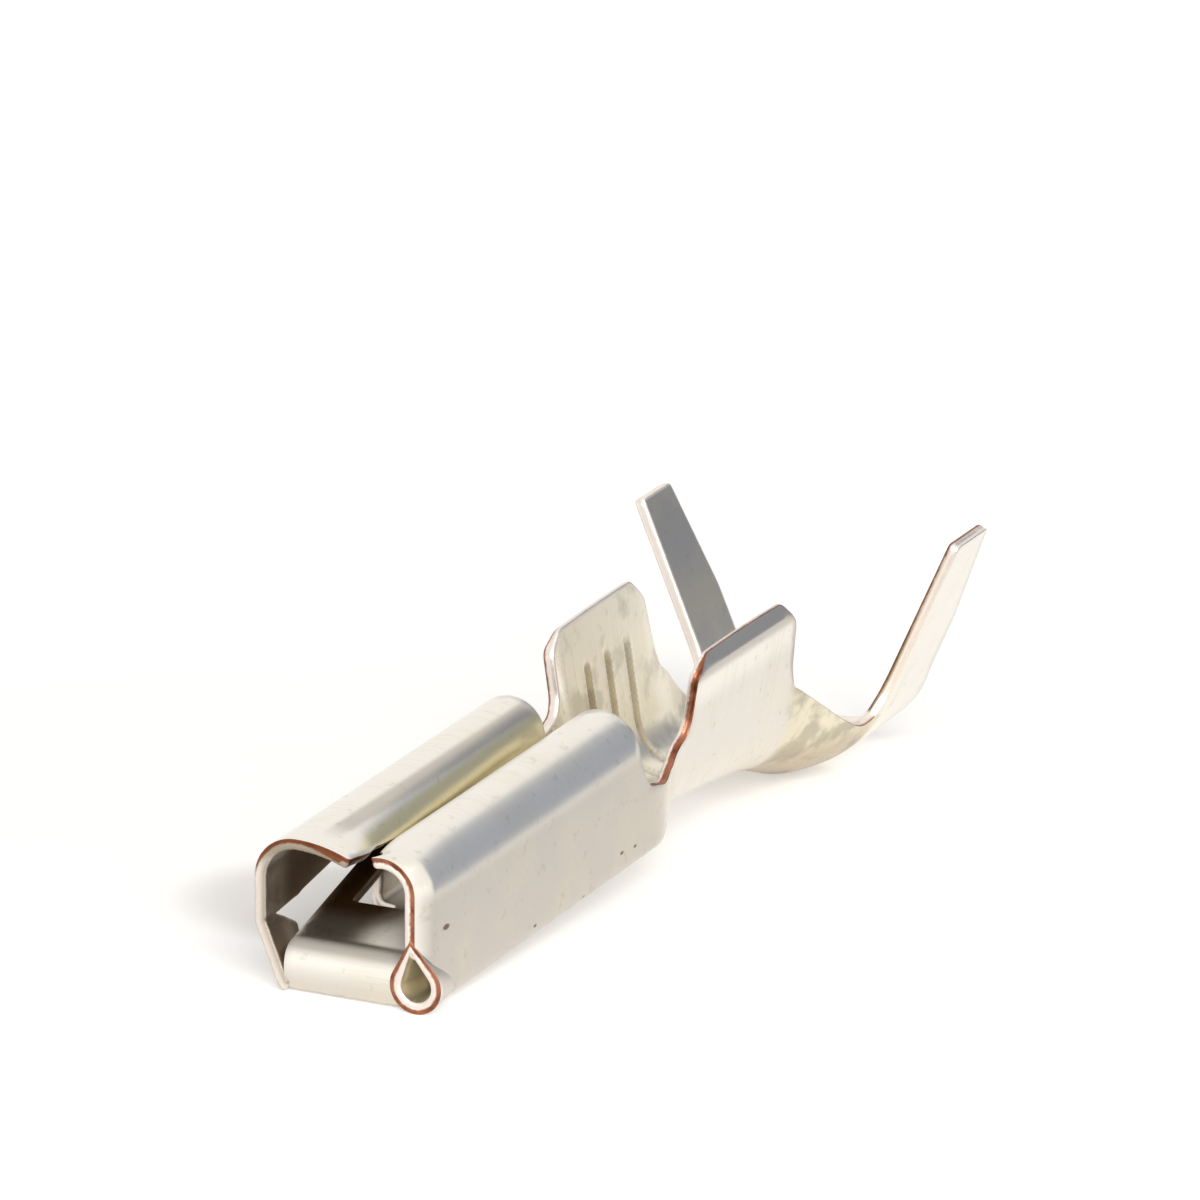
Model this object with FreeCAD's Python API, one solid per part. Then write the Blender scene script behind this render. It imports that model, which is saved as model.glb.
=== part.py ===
import FreeCAD, Part
import math
import os
from FreeCAD import Vector

# A female crimp terminal for a 2.8 mm wide tab, stamped from one strip of
# tin-plated brass and folded. Millimetres. The mouth lies in the plane x = 0,
# the tail runs towards -X, Z is up and y = 0 is the middle of the strip.
# Heights are built from the underside of the body, and the finished part is
# lowered so that the middle of the tab, as it enters the mouth, is at z = 0.

strip_thickness = 0.22

# The receptacle body: floor, two walls and two rolled curls.
body_width = 3.60
body_height = 3.10
body_length = 10.35
curl_setback = 1.05
corner_radius = 0.35
shoulder_radius = 0.85
curl_radius = 0.72
curl_sweep = 100.0
knee_share = 0.60

# The flared mouth: the left curl opens flat, the right wall is pinched in.
# The lists follow each curl from the mouth, through the pinched lip, to the
# end of the flare and the end of the taper.
flare_length = 1.50
taper_length = 4.00
left_curl_radii = (2.80, 2.50, 1.35, 0.95)
left_curl_sweeps = (24.0, 27.0, 48.0, 72.0)
right_curl_radii = (0.80, 0.80, 0.75, 0.72)
right_curl_sweeps = (18.0, 26.0, 80.0, 92.0)
pinch_foot_inset = 0.05
pinch_inset = 0.28
pinch_lip_inset = 0.03
pinch_lip_length = 0.36
mouth_drop = 0.10
pinch_shoulder = 0.68
lip_shoulder = 0.73
lip_drop = 0.07
flap_inset = 0.78
mouth_gap_top = 0.72

# The contact tongue: the front of the floor, bent up and back into the body.
tongue_clearance = 0.60
bend_radius = 0.50
tongue_rise = 13.0
tongue_fall = 22.0
contact_gap = 0.36
apex_radius = 0.80
tongue_length = 5.90
slot_width = 1.40
slot_front = 1.85
slot_length = 3.60
tab_thickness = 0.50

# The rolled teardrop at the lower right corner of the mouth.
loop_radius = 0.53
loop_inset = 0.26
loop_z = 0.57
loop_apex_inset = 0.37
loop_apex_z = 1.47
loop_length = 1.30
loop_end_radius = 0.26
loop_end_inset = 0.32
loop_end_z = 0.29
loop_end_apex = 0.85

# The window in the lower left corner of the body.
window_front = 0.45
window_front_z = 1.34
window_knee = 1.35
window_knee_z = 0.95
window_foot = 2.10
window_back = 4.75
window_back_z = 1.90
window_floor_back = 4.40

# The crimp barrels behind the body.
throat_length = 1.90
wire_length = 4.65
wire_top = 3.32
wire_half_floor = 0.15
wire_radius = 1.25
wire_splay = 9.0
wire_chamfer = 0.45
wire_bevel = 0.28
wire_bevel_land = 0.10
wire_drop_front = 0.05
wire_drop_back = 0.55
wire_blend = 0.30

# How the channel changes from the body's section to the wire barrel's, and
# from that to the insulation barrel's: half the flat floor, the corner's
# radius, the wings' splay, the floor's drop and the height of the blank.
throat_distances = (0.75, 1.50)
throat_sections = ((0.95, 0.66, 3.0, 0.02, 2.7), (0.32, 1.10, 7.0, 0.04, 3.1))
neck_sections = ((0.15, 1.30, 10.0, 0.68, 3.32), (0.15, 1.50, 14.0, 1.00, 3.4), (0.12, 1.78, 19.0, 1.31, 3.5))

# The edge of the sheet seen from the side, as distances and heights: behind
# the curls, ahead of the wire barrel, behind it, and about the neck's notch.
throat_edge = ((0.30, 1.75), (0.55, 1.50), (0.85, 1.45))
wire_front_edge = ((0.55, 1.60), (0.15, 1.77), (0.0, 2.05))
wire_front_corner = 0.37
wire_back_edge = ((-0.15, 2.82), (0.0, 1.80), (0.20, 1.30), (1.20, 0.65), (1.95, 0.15))
wire_back_corner = 0.75
neck_edge = ((-0.35, -0.18), (0.0, -0.30), (0.45, -0.20))
insulation_edge = ((-0.06, 0.15), (0.0, 0.50))
neck_length = 3.62
neck_notch_lead = 0.72
insulation_blend = 0.25
insulation_length = 2.28
insulation_tip_length = 1.58
insulation_left_length = 1.78
insulation_left_tip_length = 1.38
insulation_top = 3.48
insulation_half_floor = 0.10
insulation_radius = 2.05
insulation_splay = 23.5
insulation_drop = 1.46
channel_steps = 3

# The serrations pressed across the inside of the wire barrel.
groove_count = 3
groove_lead = 1.30
groove_pitch = 0.95
groove_width = 0.20
groove_depth = 0.05
groove_top = 2.40

half = body_width / 2
wall_top = body_height - shoulder_radius
knee_height = wall_top * knee_share
tongue_width = body_width - 2 * tongue_clearance
curl_back = body_length - curl_setback
wire_front = body_length + throat_length
wire_back = wire_front + wire_length
insulation_front = wire_back + neck_length
insulation_back = insulation_front + insulation_length
insulation_tip_back = insulation_front + insulation_tip_length
insulation_left_back = insulation_front + insulation_left_length
insulation_left_tip_back = insulation_front + insulation_left_tip_length
neck_notch_at = insulation_front - neck_notch_lead
groove_first = wire_front + groove_lead
curl_edge = body_height - curl_radius * (1 - math.cos(math.radians(curl_sweep)))
tab_level = curl_edge - tab_thickness / 2


def direction(degrees):
    angle = math.radians(degrees)
    return Vector(math.cos(angle), math.sin(angle), 0)


# A path is a list of lines (start, end) and arcs (start, middle, end), drawn
# in a flat plane as u and v.
def arc(centre, radius, start, end):
    angles = (start, 0.5 * (start + end), end)
    return tuple(centre + direction(a) * radius for a in angles)


def turning(segment):
    first = segment[1] - segment[0]
    second = segment[2] - segment[1]
    return 1 if first.x * second.y > first.y * second.x else -1


def tangent(segment, at_end):
    if len(segment) == 2:
        return (segment[1] - segment[0]).normalize()
    spoke = segment[2 if at_end else 0] - Part.Circle(*segment).Center
    return Vector(-spoke.y, spoke.x, 0).normalize() * turning(segment)


# The same path moved sideways by the strip's thickness, mitred at the kinks.
def offset_path(path, distance):
    def shifted(point, before, after):
        side = Vector(-before.y - after.y, before.x + after.x, 0).normalize()
        normal = Vector(-after.y, after.x, 0)
        return point + side * (distance / side.dot(normal))

    moved = []
    for index, segment in enumerate(path):
        entering = tangent(segment, False)
        leaving = tangent(segment, True)
        before = tangent(path[index - 1], True) if index else entering
        last = index == len(path) - 1
        after = leaving if last else tangent(path[index + 1], False)
        start = shifted(segment[0], before, entering)
        end = shifted(segment[-1], leaving, after)
        if len(segment) == 2:
            moved.append((start, end))
        else:
            inward = (Part.Circle(*segment).Center - segment[1]).normalize()
            moved.append((start, segment[1] + inward * (turning(segment) * distance), end))
    return moved


def reverse_path(path):
    return [tuple(reversed(segment)) for segment in reversed(path)]


# The closed outline of the bent strip: one face, a cut edge, the other face
# and the second cut edge, set up in space by the function place.
def strip_outline(path, place):
    other = reverse_path(offset_path(path, strip_thickness))
    edges = path + [(path[-1][-1], other[0][0])] + other
    edges.append((other[-1][-1], path[0][0]))
    made = []
    for segment in edges:
        points = [place(point) for point in segment]
        if len(points) == 2:
            made.append(Part.LineSegment(*points).toShape())
        else:
            made.append(Part.Arc(*points).toShape())
    return Part.Wire(made)


def across(distance):
    return lambda point: Vector(-distance, point.x, point.y)


# One half of the body's outer face, from the floor to the edge of the curl.
def body_side(foot_y, foot_radius, wall_y, rounding, top, curl, sweep):
    foot = Vector(foot_y, foot_radius, 0)
    knee = Vector(wall_y, knee_height, 0)
    reach = knee - foot
    open_angle = math.degrees(math.acos(foot_radius / reach.Length))
    foot_end = math.degrees(math.atan2(reach.y, reach.x)) - open_angle
    shoulder = Vector(wall_y - rounding, top - rounding, 0)
    curl_centre = Vector(shoulder.x, top - curl, 0)
    corner = arc(foot, foot_radius, -90, foot_end)
    rise = arc(shoulder, rounding, 0, 90)
    roll = arc(curl_centre, curl, 90, 90 + sweep)
    return [corner, (corner[-1], knee), (knee, rise[0]), rise, roll]


def mirrored(path):
    flipped = [tuple(Vector(-p.x, p.y, 0) for p in segment) for segment in path]
    return reverse_path(flipped)


def body_section(distance, left, right):
    path_left = mirrored(body_side(*left))
    path_right = body_side(*right)
    floor = [(path_left[-1][-1], path_right[0][0])]
    return strip_outline(path_left + floor + path_right, across(distance))


def make_body():
    foot = half - corner_radius
    pinched_foot = foot - pinch_foot_inset
    plain = (foot, corner_radius, half, shoulder_radius, body_height)
    flap = (half - flap_inset, corner_radius, half, shoulder_radius, body_height)
    pinched = (pinched_foot, corner_radius, half - pinch_inset, pinch_shoulder, body_height - mouth_drop)
    lipped = (pinched_foot, corner_radius, half - pinch_lip_inset, lip_shoulder, body_height - lip_drop)
    left_curls = list(zip(left_curl_radii, left_curl_sweeps)) + [(curl_radius, curl_sweep)]
    right_curls = list(zip(right_curl_radii, right_curl_sweeps)) + [(curl_radius, curl_sweep)]
    distances = (0, pinch_lip_length, flare_length, taper_length, body_length)
    left_sides = (flap, flap, plain, plain, plain)
    right_sides = (pinched, lipped, plain, plain, plain)
    sections = []
    for index, distance in enumerate(distances):
        left = left_sides[index] + left_curls[index]
        right = right_sides[index] + right_curls[index]
        sections.append(body_section(distance, left, right))
    return Part.makeLoft(sections, True, True)


# The open channel behind the body: floor, two round corners, two wings.
def channel_section(distance, half_floor, radius, splay, bottom, top):
    centre = Vector(half_floor, bottom + radius, 0)
    corner = arc(centre, radius, -90, -splay)
    lean = math.tan(math.radians(splay))
    tip = Vector(corner[-1].x + lean * (top - corner[-1].y), top, 0)
    side = [corner, (corner[-1], tip)]
    floor = [(Vector(-half_floor, bottom, 0), Vector(half_floor, bottom, 0))]
    return strip_outline(mirrored(side) + floor + side, across(distance))


def wire_level(distance):
    share = (distance - wire_front) / (wire_back - wire_front)
    return -wire_drop_front - (wire_drop_back - wire_drop_front) * share


def channel_stations():
    wire = (wire_half_floor, wire_radius, wire_splay)
    grip = (insulation_half_floor, insulation_radius, insulation_splay, -insulation_drop, insulation_top)
    front = wire_front + wire_blend
    back = wire_back - 2 * wire_blend
    stations = [(body_length, half - corner_radius, corner_radius, 0.01, 0, wall_top)]
    for distance, (floor, radius, splay, drop, top) in zip(throat_distances, throat_sections):
        stations.append((body_length + distance, floor, radius, splay, -drop, top))
    stations.append((front,) + wire + (wire_level(front), wire_top))
    stations.append((back,) + wire + (wire_level(back), wire_top))
    neck_front = wire_back + wire_blend
    step = (insulation_front - wire_back) / 4
    for index, (floor, radius, splay, drop, top) in enumerate(neck_sections):
        stations.append((neck_front + index * step, floor, radius, splay, -drop, top))
    stations.append((insulation_front - insulation_blend,) + grip)
    stations.append((insulation_back,) + grip)
    return stations


# A value between two stations, on a smooth curve that never overshoots them.
def blended(rows, index, column, share):
    def slope(k):
        if k < 1 or k > len(rows) - 2:
            return 0.0
        before = (rows[k][column] - rows[k - 1][column]) / (rows[k][0] - rows[k - 1][0])
        after = (rows[k + 1][column] - rows[k][column]) / (rows[k + 1][0] - rows[k][0])
        if before * after <= 0:
            return 0.0
        return 2 * before * after / (before + after)

    span = rows[index + 1][0] - rows[index][0]
    square = share * share
    cube = square * share
    return ((2 * cube - 3 * square + 1) * rows[index][column]
            + (cube - 2 * square + share) * span * slope(index)
            + (3 * square - 2 * cube) * rows[index + 1][column]
            + (cube - square) * span * slope(index + 1))


def make_channel():
    rows = channel_stations()
    sections = []
    for index in range(len(rows) - 1):
        straight = rows[index][1:4] == rows[index + 1][1:4]
        steps = 1 if straight else channel_steps
        for step in range(steps):
            share = step / steps
            distance = rows[index][0] + share * (rows[index + 1][0] - rows[index][0])
            values = [blended(rows, index, column, share) for column in range(1, 6)]
            sections.append(channel_section(distance, *values))
    sections.append(channel_section(*rows[-1]))
    return Part.makeLoft(sections, True, True)


# Everything above this line of the side view is cut away: the back of the
# curls, the notch of the throat, the wings' outline and the neck.
def make_side_cut():
    high = body_height + 2
    deck = insulation_top + 1
    points = [(curl_back, high), (curl_back + 0.05, wall_top)]
    points += [(curl_back + x, z) for x, z in throat_edge]
    points += [(wire_front - x, z) for x, z in wire_front_edge]
    points += [(wire_front, wire_top - wire_front_corner), (wire_front + wire_chamfer, wire_top)]
    points += [(wire_back - wire_back_corner, wire_top)]
    points += [(wire_back + x, z) for x, z in wire_back_edge]
    points += [(neck_notch_at + x, z) for x, z in neck_edge]
    points += [(insulation_front + x, z) for x, z in insulation_edge]
    points += [(insulation_front + 0.05, deck), (insulation_front + 0.05, high), (curl_back, high)]
    wire = Part.makePolygon([Vector(-x, 0, z) for x, z in points])
    width = 4 * insulation_top
    face = Part.Face(wire)
    face.translate(Vector(0, -width / 2, 0))
    return face.extrude(Vector(0, width, 0))


def box(front, back, right, left, low, high):
    size = (back - front, left - right, high - low)
    return Part.makeBox(*size, Vector(-back, right, low))


def make_tongue():
    centre = Vector(-bend_radius, bend_radius, 0)
    fold = arc(centre, bend_radius, -90, 90 - tongue_rise)
    rise = math.tan(math.radians(tongue_rise))
    fall = math.tan(math.radians(tongue_fall))
    start = fold[-1]
    apex_height = curl_edge - contact_gap
    apex_distance = (apex_height - start.y) / rise - start.x
    peak = Vector(-apex_distance, apex_height, 0)
    up = (peak - start).normalize()
    end = Vector(-tongue_length, peak.y - fall * (tongue_length - apex_distance), 0)
    down = (end - peak).normalize()
    setback = apex_radius * math.tan(math.radians((tongue_rise + tongue_fall) / 2))
    before = peak - up * setback
    after = peak + down * setback
    side = Vector(up.y, -up.x, 0)
    apex_centre = before - side * apex_radius
    crown = apex_centre + (peak - apex_centre).normalize() * apex_radius
    path = [(Vector(-bend_radius - 0.3, 0, 0), fold[0]), fold, (start, before),
            (before, crown, after), (after, end)]
    outline = strip_outline(path, lambda point: Vector(point.x, -tongue_width / 2, point.y))
    tongue = Part.Face(outline).extrude(Vector(0, tongue_width, 0))
    slot = box(slot_front, slot_front + slot_length, -slot_width / 2, slot_width / 2, 0.5, body_height)
    return tongue.cut(slot)


# A teardrop outline: a round with two tangent lines to its apex.
def teardrop(distance, centre, radius, apex):
    reach = apex - centre
    half_angle = math.degrees(math.acos(radius / reach.Length))
    heading = math.degrees(math.atan2(reach.y, reach.x))
    start = heading + half_angle
    end = heading + 360 - half_angle
    round_part = arc(centre, radius, start, end)
    place = across(distance)
    points = [place(point) for point in round_part]
    top = place(apex)
    return Part.Wire([Part.Arc(*points).toShape(), Part.LineSegment(points[2], top).toShape(),
                      Part.LineSegment(top, points[0]).toShape()])


def teardrop_roll(shrink, reach):
    front = Vector(half - loop_inset, loop_z, 0)
    back = Vector(half - loop_end_inset, loop_end_z, 0)
    front_apex = Vector(half - loop_apex_inset, loop_apex_z - 1.1 * shrink, 0)
    back_apex = Vector(half - loop_end_inset, loop_end_apex - 1.1 * shrink, 0)
    wires = [teardrop(-reach, front, loop_radius - shrink, front_apex),
             teardrop(loop_length + reach, back, loop_end_radius - shrink, back_apex)]
    return Part.makeLoft(wires, True, True)


# The window takes away the lower left corner, from the floor strip's edge to
# the middle of the wall.
def make_window():
    low = -0.5
    points = [(window_front, window_front_z), (window_back - 0.3, window_back_z),
              (window_back, window_back_z - 0.3), (window_back, 0.5), (window_floor_back, low),
              (window_foot, low), (window_knee, window_knee_z), (window_front, window_front_z)]
    wire = Part.makePolygon([Vector(-x, 0, z) for x, z in points])
    face = Part.Face(wire)
    face.translate(Vector(0, -half - 0.5, 0))
    return face.extrude(Vector(0, half + 0.5 - tongue_width / 2, 0))


def make_grooves():
    plugs = []
    for index in range(groove_count):
        distance = groove_first + index * groove_pitch
        bottom = wire_level(distance) + strip_thickness - groove_depth
        radius = wire_radius - strip_thickness + groove_depth
        centre = Vector(wire_half_floor, bottom + radius, 0)
        corner = arc(centre, radius, -90, -wire_splay)
        lean = math.tan(math.radians(wire_splay))
        tip = Vector(corner[-1].x + lean * (groove_top - corner[-1].y), groove_top, 0)
        side = [corner, (corner[-1], tip)]
        floor = [(Vector(-wire_half_floor, bottom, 0), Vector(wire_half_floor, bottom, 0))]
        path = mirrored(side) + floor + side
        path.append((path[-1][-1], path[0][0]))
        place = across(distance)
        edges = []
        for segment in path:
            points = [place(point) for point in segment]
            shape = Part.LineSegment(*points) if len(points) == 2 else Part.Arc(*points)
            edges.append(shape.toShape())
        plug = Part.Face(Part.Wire(edges)).extrude(Vector(-groove_width, 0, 0))
        plugs.append(plug)
    return plugs


# The outer top corners of the wire wings are coined to a bevel.
def make_bevels():
    lean = math.tan(math.radians(wire_splay))
    bevels = []
    for side in (-1, 1):
        bottom = wire_level(wire_front)
        root_y = wire_half_floor + wire_radius * math.cos(math.radians(wire_splay))
        root_z = bottom + wire_radius * (1 - math.sin(math.radians(wire_splay)))
        tip_y = root_y + lean * (wire_top - root_z)
        low_y = tip_y - lean * wire_bevel
        inner = tip_y - strip_thickness + wire_bevel_land
        corner = [(inner, wire_top + 0.02), (low_y + 0.01, wire_top - wire_bevel),
                  (tip_y + 0.4, wire_top - wire_bevel), (tip_y + 0.4, wire_top + 0.3),
                  (inner, wire_top + 0.3), (inner, wire_top + 0.02)]
        wire = Part.makePolygon([Vector(-wire_front, side * y, z) for y, z in corner])
        length = wire_back - wire_front
        bevels.append(Part.Face(wire).extrude(Vector(-length, 0, 0)))
    return bevels


# The insulation wings grow narrower towards their tips, from behind.
def make_tip_taper():
    cuts = []
    for side, tip, back in ((-1, insulation_left_tip_back, insulation_left_back),
                            (1, insulation_tip_back, insulation_back - 0.1)):
        behind = insulation_back + 1
        above = insulation_top + 1
        points = [(behind, above), (tip - 0.1, above), (tip, insulation_top), (back, 1.3),
                  (back, 0.2), (insulation_back, -0.3), (behind, -0.3), (behind, above)]
        wire = Part.makePolygon([Vector(-x, 0, z) for x, z in points])
        cuts.append(Part.Face(wire).extrude(Vector(0, side * 2 * insulation_top, 0)))
    return cuts


def make_terminal():
    mouth_gap = box(-0.5, bend_radius, -tongue_width / 2, half + 0.5, -0.5, mouth_gap_top)
    body = make_body().cut([mouth_gap, make_window()])
    side_cut = make_side_cut()
    shape = body.cut(side_cut).fuse(make_channel().cut(side_cut))
    shape = shape.fuse([make_tongue(), teardrop_roll(0, 0)])
    cuts = [teardrop_roll(strip_thickness, 0.05)] + make_grooves() + make_bevels() + make_tip_taper()
    shape = shape.cut(cuts)
    shape.translate(Vector(0, 0, -tab_level))
    return shape


terminal = make_terminal()
print("solids", len(terminal.Solids), "valid", terminal.isValid(), "volume", round(terminal.Volume, 3))
print("box", terminal.BoundBox)
os.makedirs("parts", exist_ok=True)
terminal.exportStep("parts/terminal.step")
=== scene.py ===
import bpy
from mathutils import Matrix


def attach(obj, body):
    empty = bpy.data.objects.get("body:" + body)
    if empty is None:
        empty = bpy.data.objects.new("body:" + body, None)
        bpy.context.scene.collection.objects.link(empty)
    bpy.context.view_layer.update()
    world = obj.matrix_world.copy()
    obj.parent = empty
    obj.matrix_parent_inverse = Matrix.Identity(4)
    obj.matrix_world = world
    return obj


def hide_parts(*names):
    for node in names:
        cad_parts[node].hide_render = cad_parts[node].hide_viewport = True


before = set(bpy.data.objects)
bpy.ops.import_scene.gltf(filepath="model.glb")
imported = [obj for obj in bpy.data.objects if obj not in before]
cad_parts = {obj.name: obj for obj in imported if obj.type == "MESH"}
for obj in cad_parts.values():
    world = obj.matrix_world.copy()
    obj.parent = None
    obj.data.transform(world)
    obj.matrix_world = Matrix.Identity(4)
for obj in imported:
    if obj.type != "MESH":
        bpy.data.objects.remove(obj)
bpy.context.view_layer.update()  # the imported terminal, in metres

import math

import bpy
import numpy as np
from mathutils import Matrix, Vector, geometry

# The terminal is drawn as it is made: a flat blank in s (along the strip, from the mouth to
# the tail) and t (across it, from the floor's middle), then folded. Dictionaries are in
# millimetres and degrees; makeMesh turns millimetres into metres.

strip = {
    "thickness": 0.22,
    "rollover": 0.045,      # rounding where the punch pulled the inner face down
    "innerRim": 0.035,      # how much further in the inner face's own border lies
    "burr": 0.012,          # small break of the outer edge
    "copperShare": 0.42,    # share of the cut edge, from the outer face, that shows bare metal
    "stationStep": 0.05,    # spacing of the folding table along the strip
    "acrossStep": 0.02,     # and across it
    "acrossReach": 8.6,     # how far across it reaches on each side
    "outlineStep": 0.075,   # spacing of the points on the blank's outline
    "clear": 0.135,         # how near the outline a point of the fill may lie
    "squeeze": 0.6,         # a distance along the strip counts this much there, one across it in full
    # The fill's rows along the strip and its columns across it: from, to and step.
    "rowSpans": [(0.06, 1.6, 0.08), (1.6, 9.2, 0.15), (9.2, 13.3, 0.10), (13.3, 16.2, 0.05),
                 (16.2, 22.78, 0.10)],
    "columnSpans": [(0.06, 1.0, 0.13), (1.0, 2.05, 0.07), (2.05, 3.7, 0.12), (3.7, 8.0, 0.065)],
}

body = {
    "halfWidth": 1.80, "height": 3.10, "length": 10.35, "curlBack": 9.30,
    "cornerRadius": 0.35, "shoulderRadius": 0.85, "curlRadius": 0.72, "curlSweep": 100,
    "kneeHeight": 1.35, "mouthDrop": 0.10, "flapFoot": 1.02,
    "pinchInset": 0.28, "lipInset": 0.03, "pinchShoulder": 0.68,
    # How each curl starts at the mouth: distance behind it, radius and sweep.
    "leftCurl": [(0.0, 2.80, 24), (0.36, 2.50, 27), (1.50, 1.35, 48), (4.00, 0.95, 72)],
    "rightCurl": [(0.0, 0.80, 18), (0.36, 0.80, 26), (1.50, 0.75, 80), (4.00, 0.72, 92)],
}

tongue = {
    "halfWidth": 1.20, "bendRadius": 0.50, "rise": 13, "fall": 22, "crownRadius": 0.80, "contactGap": 0.36,
    "foldPower": 0.78,      # 1 folds it round, less folds it squarer
    "length": 5.90, "slotHalf": 0.70, "slotFront": 1.85, "slotLength": 3.60, "tabThickness": 0.50,
    "cornerRounding": 0.10, "outlineStep": 0.09, "clear": 0.12,
    "frontRows": (0.05, 1.3, 0.05), "rowStep": 0.12, "columnStep": 0.11, "columnInset": 0.06,
}

loop = {
    "front": (1.54, 0.57), "frontRadius": 0.53, "frontApex": (1.43, 1.47),
    "back": (1.48, 0.29), "backRadius": 0.26, "backApex": (1.48, 0.85),
    "length": 1.30, "forward": 0.012, "points": 96, "rings": 12,
    # Where the wall behind it is cut away: distance behind the mouth and height.
    "wallCut": [(0.62, 0.06), (0.95, 0.25), (0.95, 0.45), (0.70, 0.62), (0.45, 0.78), (0.30, 0.95),
                (0.10, 1.10), (0.0, 1.25)],
}

window = {
    "front": 0.45, "frontZ": 1.34, "knee": 1.35, "kneeZ": 0.95, "floorFront": 1.84,
    "back": 4.92, "backZ": 1.90, "floorBack": 4.75, "rounding": 0.06,
}

barrel = {
    "wireFront": 12.25, "wireBack": 16.90, "wireTop": 3.32, "wireRadius": 1.25, "wireSplay": 9,
    "wireHalfFloor": 0.15, "chamfer": 0.45, "bevel": 0.28, "bevelLand": 0.10,
    "throat": 1.45, "neckZ": -0.30, "neckAt": 19.80,
    "gripFront": 20.52, "gripBack": 22.80, "gripTop": 3.48, "gripRadius": 2.05, "gripSplay": 23.5,
    "gripHalfFloor": 0.10, "gripDrop": 1.46, "rightTip": 22.10, "rightBack": 22.70,
    "leftTip": 21.90, "leftBack": 22.30, "rounding": 0.12,
}

grooves = {"first": 13.55, "pitch": 0.95, "count": 3, "width": 0.20, "depth": 0.07, "top": 2.40,
           "raised": 0.35}  # share of the depth that the metal rises beside a groove

curlEdge = body["height"] - body["curlRadius"] * (1 - math.cos(math.radians(body["curlSweep"])))
tabLevel = curlEdge - tongue["tabThickness"] / 2  # height of the frame's origin above the underside
addObject = bpy.context.scene.collection.objects.link


# Value of each column at s: a cubic between rows, with a row's slope the harmonic mean of its
# chords' slopes, and level where they change sign.
def blendRows(rows, s):
    rows = np.array(rows, float)
    at, value = rows[:, 0], rows[:, 1:]
    chord = np.diff(value, axis=0) / np.diff(at)[:, None]
    product, total = chord[:-1] * chord[1:], chord[:-1] + chord[1:]
    slope = np.zeros_like(value)
    slope[1:-1] = np.where(product > 0, 2 * product / np.where(product > 0, total, 1), 0)
    k = np.clip(np.searchsorted(at, s, side="right") - 1, 0, len(at) - 2)
    span = (at[k + 1] - at[k])[:, None]
    f = (s - at[k])[:, None] / span
    return ((2 * f**3 - 3 * f**2 + 1) * value[k] + (f**3 - 2 * f**2 + f) * span * slope[k]
            + (3 * f**2 - 2 * f**3) * value[k + 1] + (f**3 - f**2) * span * slope[k + 1])


# y = cy + r cos(a), z = cz + r sin(a), for a from start to end degrees, one row per station.
def arcRow(cy, cz, r, start, end, count):
    share = np.linspace(0, 1, count)
    a = np.radians(start + (end - start) * share)
    return cy + r * np.cos(a), cz + r * np.sin(a)


# The straight line between two points in even steps, one row per station.
def lineRow(y0, z0, y1, z1, count):
    share = np.linspace(0, 1, count)
    return y0 + (y1 - y0) * share, z0 + (z1 - z0) * share


# Distance along each row of points from its first one: the running sum of the steps.
def alongRows(*places):
    return np.cumsum(np.hypot(*(np.diff(p, axis=1, prepend=p[:, :1]) for p in places)), axis=1)


# The same for one line of points.
def alongLine(line):
    return np.concatenate([[0], np.cumsum(np.linalg.norm(np.diff(line, axis=0), axis=1))])


# Each row as a direction of length 1: the row divided by its length.
def unit(rows):
    return rows / np.maximum(np.linalg.norm(rows, axis=1, keepdims=True), 1e-12)


# Points of a line at given distances along it.
def readLine(line, along, at):
    return np.column_stack([np.interp(at, along, v) for v in line.T])


# One side of the body from the floor's middle: floor, round foot, wall up to the knee, wall up to
# the shoulder, shoulder, curl, and a little more of the curl's arc past the strip's edge.
def bodySide(columns):
    foot, footR, wall, rounding, top, curl, sweep = columns.T[:, :, None]
    level = 0 * foot
    kneeZ = body["kneeHeight"] + level
    reachY, reachZ = wall - foot, kneeZ - footR
    footEnd = np.degrees(np.arctan2(reachZ, reachY) - np.arccos(footR / np.hypot(reachY, reachZ)))
    beyond = 8
    floor = lineRow(level, level, foot, level, 8)
    corner = arcRow(foot, footR, footR, -90, footEnd, 24)
    lower = lineRow(corner[0][:, -1:], corner[1][:, -1:], wall, kneeZ, 10)
    upper = lineRow(wall, kneeZ, wall, top - rounding, 10)
    shoulder = arcRow(wall - rounding, top - rounding, rounding, level, 90 + level, 40)
    roll = arcRow(wall - rounding, top - curl, curl, 90 + level, 90 + sweep, 60)
    past = arcRow(wall - rounding, top - curl, curl, 90 + sweep, 104 + sweep, beyond)
    y, z = np.concatenate([floor, corner, lower, upper, shoulder, roll, past], axis=2)
    return y, z, y.shape[1] - beyond


# One side of the open channel: floor, round corner, and a wing that leans out by the splay.
def channelSide(columns):
    halfFloor, radius, splay, bottom = columns.T[:, :, None]
    corner = arcRow(halfFloor, bottom + radius, radius, -90 + 0 * splay, -splay, 60)
    tipZ = 4.6
    tipY = corner[0][:, -1:] + np.tan(np.radians(splay)) * (tipZ - corner[1][:, -1:])
    floor = lineRow(0 * splay, bottom, halfFloor, bottom, 6)
    wing = lineRow(corner[0][:, -1:], corner[1][:, -1:], tipY, tipZ + 0 * splay, 30)
    return np.concatenate([floor, corner, wing], axis=2)


# The floor of the wire barrel sinks evenly towards the tail.
def wireLevel(s):
    return -0.05 - 0.50 * (s - barrel["wireFront"]) / (barrel["wireBack"] - barrel["wireFront"])


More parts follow.
